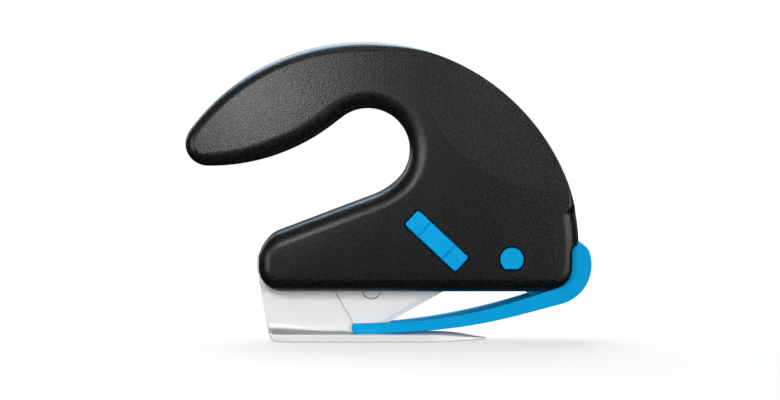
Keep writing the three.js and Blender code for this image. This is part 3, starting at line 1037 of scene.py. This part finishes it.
@dataclass(frozen=True)
class Foot:
    """The steel sled foot: a crowned plate with an upright web that flares into it."""

    rear: float = -43.6
    front: float = 34.8
    half: float = 6.0
    bottom: float = -STAND
    top: float = 2.25
    tip_low: float = 0.12
    tip_high: float = 0.78
    tip_half: float = 0.9
    corner: float = 2.0
    taper: float = 1.9
    heel_lift: float = 3.3
    least: float = 0.55
    edge: float = 0.3
    slope_start: float = 20.0
    taper_start: float = 12.0
    heel: float = 5.2
    crown: float = 0.28
    toe_crown: float = 0.75
    web_half: float = 0.9
    ridge: tuple[float, float] = (2.0, 1.25)
    root: tuple[float, float] = (1.9, 0.5)
    flare_end: float = -20.0
    slot: tuple[float, float] = (-12.0, -2.9)

    def section(self, x: float) -> list[tuple[float, float]]:
        """The sled's section at an x, from the middle of its underside round to the middle of its top.

        Args:
            x: The place along the sled.

        Returns:
            The y and z of each point.
        """
        from_rear = x - self.rear
        short = max(0.0, self.corner - from_rear)
        corner = self.corner - math.sqrt(max(0.0, self.corner**2 - short**2))
        way = (max(0.0, x - self.taper_start) / (self.front - self.taper_start)) ** self.taper
        half = (self.half - corner) * (1 - way) + self.tip_half * way
        curl = max(0.0, 1 - from_rear / self.heel)
        toe = smooth_step(self.slope_start - 6, self.front, x) ** 1.1
        lift = self.heel_lift * (1 - math.sqrt(1 - curl * curl * 0.98))
        low = self.bottom + lift + (self.tip_low - self.bottom) * toe
        fall = smooth_step(self.slope_start - 4, self.front + 6, x) / 0.875
        high = max(self.top + (self.tip_high - self.top) * fall, low + self.least)
        edge = min(self.edge, (high - low) / 2.2, half / 3)
        points = [(0.0, low), (half * 0.5, low)]
        points += [(half - edge * (1 - math.sin(a)), low + edge * (1 - math.cos(a))) for a in quarter(4)]
        points += [(half - edge * (1 - math.cos(a)), high - edge * (1 - math.sin(a))) for a in quarter(4)]
        fade = 1 - smooth_step(self.slope_start + 4, self.front, x)
        crown = (self.crown + (self.toe_crown - self.crown) * smooth_step(4, 15, x)) * fade
        behind = 1 - smooth_step(self.slot[0] - 5, self.slot[0], x)
        wane = smooth_step(self.rear, self.flare_end, x)
        ridge = self.ridge[0] + (self.ridge[1] - self.ridge[0]) * wane
        root = self.root[0] + (self.root[1] - self.root[0]) * wane
        inner = half - edge
        steps = 30
        for k in range(1, steps + 1):
            y = inner * (1 - math.sin(math.pi / 2 * k / steps))
            sweep = min(1.0, (inner - y) / max(0.1, inner - self.web_half))
            bend = max(0.0, 1 - (1 - sweep) * (inner - self.web_half) / max(root, 0.1))
            slope = ridge * sweep + root * (1 - math.sqrt(max(0.0, 1 - bend * bend)))
            rise = behind * slope + (1 - behind) * crown * (1 - (y / half) ** 2)
            points.append((y, high + rise))
        return points

    def sled(self) -> Shape:
        """The sled: rounded up behind, tapering to a thin tip in front, with the web's flares on it.

        Returns:
            The sled.
        """
        bm = bmesh.new()

        def place(verts: Sequence[BMVert], x: float) -> None:
            """Puts a loop of vertices on the section at an x."""
            half = self.section(x)
            whole = half + [(-y, z) for y, z in reversed(half[1:-1])]
            for vert, (y, z) in zip(verts, whole):
                vert.co = Vector((x, y, z))

        count = len(self.section(0.0)) * 2 - 2
        start = [self.rear + self.heel * (1 - math.cos(a)) for a in quarter(14)]
        stations = start + [start[-1] + 0.9 * k for k in range(1, 83)] + [self.front - 0.1, self.front]
        ring = [bm.verts.new() for _ in range(count)]
        place(ring, stations[0])
        edges = [bm.edges.new(pair) for pair in zip(ring, ring[1:] + ring[:1])]
        bmesh.ops.edgeloop_fill(bm, edges=edges)
        for x in stations[1:]:
            fresh, edges = extrude_loop(bm, edges)
            origin = {}
            for vert in fresh:
                for edge in vert.link_edges:
                    other = edge.other_vert(vert)
                    if other not in fresh:
                        origin[other] = vert
            ring = [origin[v] for v in ring]
            place(ring, x)
        bmesh.ops.edgeloop_fill(bm, edges=edges)
        return Shape(bm)

    def web(self) -> Shape:
        """The upright web: it runs up inside the nose and seats the blade's back and top edges.

        Returns:
            The web, with its pin holes and the thin lip behind the blade's back edge.
        """
        # Along and across the blade: just behind its back edge, just over its top edge, and the web's
        # front end and upper edge inside the handle.
        back, seat, end, ceiling = -GAP - 0.1, 24.3, 33, 31
        outline = [
            Vector((self.rear + 0.3, 1.0)),
            on_blade(back, 0.5),
            on_blade(back, seat),
            on_blade(end, seat),
            on_blade(end, ceiling),
            on_blade(9.6, ceiling),
            Vector((-44.6, 33)),
            Vector((-48.1, 30.9)),
            Vector((-48.1, 26.7)),
            Vector((-44.8, 7.2)),
        ]
        lip = [on_blade(-1.5, 3.5), on_blade(1.6, 3.5), on_blade(1.6, 23.5), on_blade(-1.5, 23.5)]
        web = prism(outline, -self.web_half, self.web_half).soften(0.12, 2, 50.0)
        web.join(prism(lip, 0.56, self.web_half - 0.02))
        return web.cut(*[rod(x, z, -2, 2, 1.8, 32) for x, z in PIN_PLACES])

    def dress(self, material: bpy.types.Material) -> bpy.types.Object:
        """Builds the foot and makes it a finished piece."""
        slot = block(self.slot, (-0.8, 0.8), (0.5, 6))
        foot = self.sled().join(self.web()).cut(slot)
        return foot.finish("foot", "handle", ["foot_web", "base_plate"], "satin_steel", material, 35.0)


@dataclass(frozen=True)
class Blade:
    """The straight blade, ground to an edge along one side, with two holes so that it can be turned."""

    length: float = 40.0
    height: float = 24.0
    half: float = 0.5
    bevel: float = 1.8
    hole: float = 3.55

    def build(self) -> Shape:
        """Builds the blade in its place.

        Returns:
            The blade.
        """
        section = [(0.08, 0), (self.half, self.bevel), (self.half, self.height), (-self.half, self.height)]
        section += [(-self.half, self.bevel), (-0.08, 0)]
        bar = prism([Vector(p) for p in section], 0, self.length)
        # The section's x becomes Y and its y stays up, so that the length runs along X.
        bar.transform(Matrix.Rotation(-math.pi / 2, 4, "Z"))
        lean = Matrix.Rotation(-math.radians(BLADE_DEGREES), 4, "Y")
        bar.transform(Matrix.Translation((BLADE_HEEL.x, 0, BLADE_HEEL.y)) @ lean)
        spots = [on_blade(u, STUD_V) for u in (STUD_U, self.length - STUD_U)]
        return bar.cut(*[rod(p.x, p.y, -2, 2, self.hole, 96) for p in spots])

    def dress(self, material: bpy.types.Material) -> bpy.types.Object:
        """Builds the blade and makes it a finished piece."""
        return self.build().finish("cutting_blade", "handle", ["blade"], "blade_steel", material, 8.0)


@dataclass(frozen=True)
class BladeStud:
    """The stud that locates the blade, its end level with the blade's near side."""

    radius: float = 3.1
    flange: float = 3.9
    shank: float = 1.5

    def dress(self, material: bpy.types.Material) -> bpy.types.Object:
        """Builds the stud and makes it a finished piece."""
        at = on_blade(STUD_U, STUD_V)
        rim = self.radius - 0.12
        profile = [(0, -0.5), (rim, -0.5), (self.radius, -0.38), (self.radius, 1.6), (self.flange, 1.6)]
        profile += [(self.flange, 2.0), (self.radius, 2.0), (self.radius, 2.58), (rim, 2.7)]
        profile += [(self.shank, 2.7), (self.shank, 4.3), (self.shank - 0.1, 4.4), (0, 4.4)]
        stud = spun(at.x, at.y, profile, 96)
        return stud.finish("stud", "release", ["blade_stud"], "blade_steel", material, 30.0)


# ---- the blue controls --------------------------------------------------------------------------------
@dataclass(frozen=True)
class ReleaseKey:
    """The slanted key that releases the blade: a grooved bar with a flange and two posts behind it."""

    length: float = 24.9
    width: float = 7.05
    corner: float = 0.9
    groove: float = 6.0
    reach: float = 9.0

    def outline(self) -> Belt:
        """The key's outline."""
        return rounded_bar(KEY_CENTRE, self.length, self.width, self.corner, KEY_DEGREES)

    def build(self) -> Shape:
        """Builds the key in its place.

        Returns:
            The key.
        """
        face = -HALF_DEPTH + 0.05
        chamfer = [(-0.45, face), (-0.2, face + 0.08), (0.0, face + 0.4), (0.0, -8.7)]
        key = self.outline().slab(chamfer)
        parts = [self.outline().slab([(1.2, -9.3), (1.2, -8.1)])]
        for along in (-self.reach, self.reach):
            at = on_key(along)
            parts.append(rod(at.x, at.y, -8.5, 2.7, 1.4, 32))
            parts.append(rod(at.x, at.y, -8.5, 4.4, 0.8, 24))
        key.join(*parts)
        grooves = []
        for along in (-self.groove, self.groove):
            bar = rounded_bar(on_key(along), 0.5, self.width + 2, 0.2, KEY_DEGREES)
            grooves.append(bar.slab([(0.25, face - 1), (0.2, face), (0.0, face + 0.3), (-0.05, face + 0.55)]))
        return key.cut(*grooves)

    def dress(self, material: bpy.types.Material) -> bpy.types.Object:
        """Builds the key and makes it a finished piece."""
        return self.build().finish("key", "release", ["release_key"], "blue_plastic", material, 25.0)


@dataclass(frozen=True)
class LockButton:
    """The round button with a flat below, a flange behind the wall and a stem in the arm's bush."""

    radius: float = 4.2
    flat: float = 3.5
    corner: float = 0.5
    flange: float = 5.4
    stem: float = 1.25

    def outline(self) -> Belt:
        """The button's outline."""
        reach = self.radius - self.corner
        drop = self.flat - self.corner
        side = math.sqrt(reach * reach - drop * drop)
        corners = [Bend(PIVOT.x + way * side, PIVOT.y - drop, self.corner) for way in (-1, 1)]
        return Belt((*corners, Bend(PIVOT.x, PIVOT.y, self.radius)), spacing=0.3)

    def dress(self, material: bpy.types.Material) -> bpy.types.Object:
        """Builds the button and makes it a finished piece."""
        face = -HALF_DEPTH + 0.05
        head = self.outline().slab([(-0.5, face), (-0.22, face + 0.08), (0.0, face + 0.42), (0.0, -8.7)])
        flange = rod(PIVOT.x, PIVOT.y, -9.3, -8.3, self.flange)
        stem = rod(PIVOT.x, PIVOT.y, -9.3, 5.5, self.stem, 32)
        button = head.join(flange, stem)
        return button.finish("button_head", "button", ["lock_button"], "blue_plastic", material, 25.0)


@dataclass(frozen=True)
class GuardArm:
    """The blue guard arm: a bent strip, forked at its tip, with a finger tab and a lug up to its hub."""

    plan: tuple = ((-15, 2.7), (-3, 3.0), (5, 5.2), (19, 7.2), (33, 9.0), (75, 9.0))
    rounding: float = 0.45
    nominal: float = 20.0
    hub: float = 6.4
    bore: float = 3.2
    hub_half: float = 3.0

    def half_at(self, x: float) -> float:
        """Half the arm's width at an x, as a smooth curve through the plan."""
        if x >= self.plan[-2][0]:
            return self.plan[-1][1]
        for (x0, h0), (x1, h1) in zip(self.plan, self.plan[1:]):
            if x <= x1:
                return h0 + (h1 - h0) * max(0.0, x - x0) / (x1 - x0)
        return self.plan[-1][1]

    def width_at(self, x: float) -> float:
        """The plan's half width, evened out over a few millimetres."""
        return sum(self.half_at(x + 1.5 * k) for k in range(-2, 3)) / 5

    def strip(self) -> Shape:
        """The strip with its rounded edges.

        Returns:
            The strip.
        """
        strip = ARM_PROFILE.slab(rounded_stations(-self.nominal, self.nominal, self.rounding, 4))

        def narrow(bm: BMesh) -> None:
            """Cuts the open bmesh into short lengths and draws each in to the plan."""
            for k in range(-13, 73, 2):
                geometry = bm.verts[:] + bm.edges[:] + bm.faces[:]
                bmesh.ops.bisect_plane(bm, geom=geometry, dist=1e-3, plane_co=(k, 0, 0), plane_no=(1, 0, 0))
            for vert in bm.verts:
                vert.co.y -= math.copysign(self.nominal - self.width_at(vert.co.x), vert.co.y)

        return strip.edit(narrow)

    def dress(self, material: bpy.types.Material) -> bpy.types.Object:
        """Builds the arm and makes it a finished piece."""
        lug_outline = Belt((Bend(56, 17.4, 3.6), Bend(PIVOT.x, PIVOT.y, self.hub)))
        lug = lug_outline.slab(rounded_stations(-self.hub_half, self.hub_half, 0.3, 3))
        fork = Belt((Bend(-20, 0, 1.3), Bend(18.7, 0, 1.3)), turn=10)
        slot = fork.slab([(0, -20), (0, 20)]).transform(Matrix.Rotation(math.pi / 2, 4, "X"))
        arm = self.strip().join(lug).cut(slot, rod(PIVOT.x, PIVOT.y, -9, 9, self.bore))
        return arm.finish("arm", "arm", ["guard_arm"], "blue_plastic", material, 30.0)


# ---- small metal parts --------------------------------------------------------------------------------
@dataclass(frozen=True)
class ShellScrew:
    """A pan-head screw with a cross recess, driven in from the far side."""

    number: int
    shank: float = 1.25
    head: float = 2.6
    seat: float = 6.9
    face: float = 8.9
    tip: float = -7.5

    def dress(self, material: bpy.types.Material) -> bpy.types.Object:
        """Builds the screw and makes it a finished piece."""
        x, z = SCREW_PLACES[self.number - 1]
        brim = self.seat + 0.9
        crown = [(self.head, self.seat), (self.head, brim)]
        crown += [(self.head - 0.9 * (1 - math.cos(a)), brim + 0.95 * math.sin(a)) for a in quarter(6)[1:]]
        thread = []
        for k in range(12):
            low = self.tip + 0.8 + k * 0.9
            thread += [(self.shank - 0.25, low), (self.shank, low + 0.35), (self.shank - 0.25, low + 0.7)]
        profile = [(0, self.tip), (0.5, self.tip + 0.2), *thread, (self.shank, self.seat), *crown]
        screw = spun(x, z, [*profile, (0, self.face - 0.02)], 48)
        past = self.face + 0.5
        recess = [spun(x, z, [(0, self.face - 1.2), (0.5, self.face - 1.1), (0.85, past), (0, past)], 24)]
        for wide, deep in ((1.5, 0.33), (0.33, 1.5)):
            recess.append(block((x - wide, x + wide), (self.face - 1.0, self.face + 1), (z - deep, z + deep)))
        node = f"shell_screw_{self.number}"
        return screw.cut(*recess).finish(f"screw_{self.number}", "handle", [node], "plated_screw", material, 30.0)


@dataclass(frozen=True)
class CoilSpring:
    """A coil spring along Y, as fine round wire."""

    name: str
    node: str
    body: str
    at: Vector
    ends: tuple[float, float]
    radius: float
    wire: float
    turns: float

    def dress(self, material: bpy.types.Material) -> bpy.types.Object:
        """Winds the spring and makes it a finished piece."""
        bm = bmesh.new()
        low, high = self.ends[0] + self.wire, self.ends[1] - self.wire
        start = Matrix.Translation((self.at.x + self.radius, low, self.at.y))
        made = bmesh.ops.create_circle(bm, cap_ends=True, segments=10, radius=self.wire, matrix=start)
        steps = round(self.turns * 32)
        bmesh.ops.spin(
            bm,
            geom=bm.faces[:] + made["verts"],
            cent=(self.at.x, 0, self.at.y),
            axis=(0, 1, 0),
            dvec=(0, (high - low) / steps, 0),
            angle=-math.tau * self.turns,
            steps=steps,
        )
        return Shape(bm).finish(self.name, self.body, [self.node], "spring_steel", material, 50.0)


# ---- the studio ---------------------------------------------------------------------------------------
@dataclass(frozen=True)
class SoftBox:
    """A soft rectangular light that points at the cutter."""

    name: str
    place: tuple[float, float, float]
    size: tuple[float, float]
    power: float
    colour: tuple[float, float, float] = (1, 1, 1)
    target: tuple[float, float, float] = (0, 0, 0.055)

    def hang(self) -> None:
        """Adds the light."""
        data = bpy.data.lights.new(self.name, "AREA")
        data.shape = "RECTANGLE"
        data.size, data.size_y = self.size
        data.energy = self.power
        data.color = self.colour
        lamp = bpy.data.objects.new(self.name, data)
        lamp.location = self.place
        aim = Vector(self.target) - Vector(self.place)
        lamp.rotation_euler = aim.to_track_quat("-Z", "Y").to_euler()
        bpy.context.scene.collection.objects.link(lamp)


@dataclass(frozen=True)
class Studio:
    """A white floor, a white surround, soft lights and the camera."""

    eye: tuple[float, float, float] = (0.00038, -0.8, 0.09485 + STAND * MM)
    aim: tuple[float, float, float] = (0.00038, 0.0, 0.05085 + STAND * MM)
    lens: float = 101.87
    lights: tuple[SoftBox, ...] = (
        SoftBox("grip", (-0.06, -0.2, 0.1), (0.05, 0.05), 0.115, target=(-0.042, 0, 0.08)),
        SoftBox("grip tip", (-0.06, -0.13, 0.085), (0.03, 0.03), 0.035, target=(-0.052, 0, 0.085)),
        SoftBox("left fill", (-0.75, -0.7, 0.12), (0.45, 0.22), 1.5),
        SoftBox("right fill", (0.75, -0.7, 0.12), (0.45, 0.22), 3.2),
        SoftBox("upper fill", (0.0, -0.7, 0.75), (0.5, 0.4), 1.2),
        SoftBox("low left", (-0.42, -0.42, 0.012), (0.25, 0.015), 0.55, target=(-0.01, 0, 0.012)),
        SoftBox("right strip", (0.21, -0.42, 0.07), (0.05, 0.35), 0.32),
        SoftBox("facet", (0.25, -0.42, 0.12), (0.05, 0.25), 0.32),
        SoftBox("sky", (-0.22, 0.5, 0.5), (0.8, 0.35), 1.2, (0.62, 0.82, 1.0)),
        SoftBox("back left", (-0.7, 0.7, 0.35), (0.5, 0.5), 2.0),
        SoftBox("back right", (0.7, 0.7, 0.35), (0.5, 0.5), 2.0),
        SoftBox("top", (-0.08, 0.22, 0.6), (0.55, 0.5), 12.0, (0.62, 0.82, 1.0)),
    )

    def build(self, floor_height: float) -> None:
        """Sets up the studio.

        Args:
            floor_height: The height that the cutter stands on, in metres.
        """
        self._floor(floor_height)
        self._surround()
        for light in self.lights:
            light.hang()
        world = bpy.data.worlds.new("studio")
        world.use_nodes = True
        shade = world.node_tree.nodes["Background"]
        shade.inputs["Color"].default_value = (0.9, 0.95, 1.0, 1)
        shade.inputs["Strength"].default_value = 0.02
        bpy.context.scene.world = world
        bpy.context.scene.view_settings.view_transform = "Standard"
        self._camera()

    def _stage_object(self, name: str, bm: BMesh, glow: float, base: tuple) -> bpy.types.Object:
        """Adds a stage object.

        Args:
            name: Its name.
            bm: Its bmesh, which is freed.
            glow: How much it glows.
            base: Its colour.

        Returns:
            The object.
        """
        mesh = bpy.data.meshes.new(name)
        bm.to_mesh(mesh)
        bm.free()
        made = bpy.data.objects.new(name, mesh)
        bpy.context.scene.collection.objects.link(made)
        graph = Graph(name)
        made.data.materials.append(
            graph.surface(
                {
                    "Base Color": (*base, 1),
                    "Roughness": 0.9,
                    "Specular IOR Level": 0.0,
                    "Emission Color": graph.blend(graph.away(0.12, 0.5), (glow, glow, glow), (1, 1, 1)),
                    "Emission Strength": 1.0,
                }
            )
        )
        made.visible_glossy = False
        made.visible_diffuse = False
        made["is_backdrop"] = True
        return made

    def _floor(self, height: float) -> None:
        """Lays the floor."""
        bm = bmesh.new()
        bmesh.ops.create_circle(bm, cap_ends=True, segments=96, radius=2.4)
        bmesh.ops.translate(bm, vec=(0, 0, height), verts=bm.verts)
        self._stage_object("floor", bm, 0.72, (0.16, 0.137, 0.12))

    def _surround(self) -> None:
        """Hangs the white surround."""
        bm = bmesh.new()
        bmesh.ops.create_uvsphere(bm, u_segments=48, v_segments=24, radius=3.0)
        self._stage_object("surround", bm, 1.0, (0, 0, 0)).visible_shadow = False

    def _camera(self) -> None:
        """Sets up the camera."""
        data = bpy.data.cameras.new("camera")
        data.lens = self.lens
        data.sensor_width = 36.0
        data.clip_start, data.clip_end = 0.01, 20.0
        camera = bpy.data.objects.new("camera", data)
        camera.location = self.eye
        aim = Vector(self.aim) - Vector(self.eye)
        camera.rotation_euler = aim.to_track_quat("-Z", "Y").to_euler()
        bpy.context.scene.collection.objects.link(camera)
        bpy.context.scene.camera = camera


def main() -> None:
    """Builds the cutter round its frame, and the studio round the cutter."""
    logging.basicConfig(level=logging.INFO, format="%(name)s: %(message)s")
    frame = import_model()
    cad_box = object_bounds()
    Studio().build(cad_box[0].z)
    black = GrainedPlastic().make()
    blue = BluePlastic().make()
    # The sled's steel carries painted shade on its top behind the blade's slot.
    sled_steel = SatinSteel("sled steel", painted_top_shade=True).make()
    blade_steel = SatinSteel(
        "blade steel", (0.87, 0.87, 0.87), (0.895, 0.895, 0.89), 0.45, marks=(1, 1, 14), depth=0.001, metal=0.3
    ).make()
    zinc = SatinSteel(
        "zinc plate", (0.42, 0.43, 0.45), (0.55, 0.56, 0.58), 0.34, marks=(1, 1, 1), depth=0.003, metal=0.9
    ).make()
    spring = SatinSteel(
        "spring steel", (0.3, 0.3, 0.31), (0.42, 0.42, 0.43), 0.3, marks=(3, 3, 3), depth=0.002, metal=0.9
    ).make()

    for side in Side:
        HandleShell(side).dress(black)
    Foot().dress(sled_steel)
    Blade().dress(blade_steel)
    BladeStud().dress(blade_steel)
    ReleaseKey().dress(blue)
    LockButton().dress(blue)
    GuardArm().dress(blue)
    for number in range(1, len(SCREW_PLACES) + 1):
        ShellScrew(number).dress(zinc)
    for number, along in enumerate((-9, 9), 1):
        at = on_key(along)
        coil, node = f"key_coil_{number}", f"key_spring_{number}"
        CoilSpring(coil, node, "handle", at, (4.5, 9.3), 1.95, 0.3, 4).dress(spring)
    CoilSpring("button_coil", "button_spring", "handle", PIVOT, (-8.0, -4.5), 2.2, 0.28, 3.5).dress(spring)

    finishes = {"plated_screw": zinc, "spring_steel": spring}
    slots = {part["node"]: part["material_slot"] for part in frame["record"]["subparts"]}
    for name, node in frame["nodes"].items():
        if not node.hide_render:
            node.data.materials.clear()
            node.data.materials.append(finishes[slots[name]])
            log.info("%s: CAD node with %s", name, slots[name])


if __name__ == "__main__":
    main()
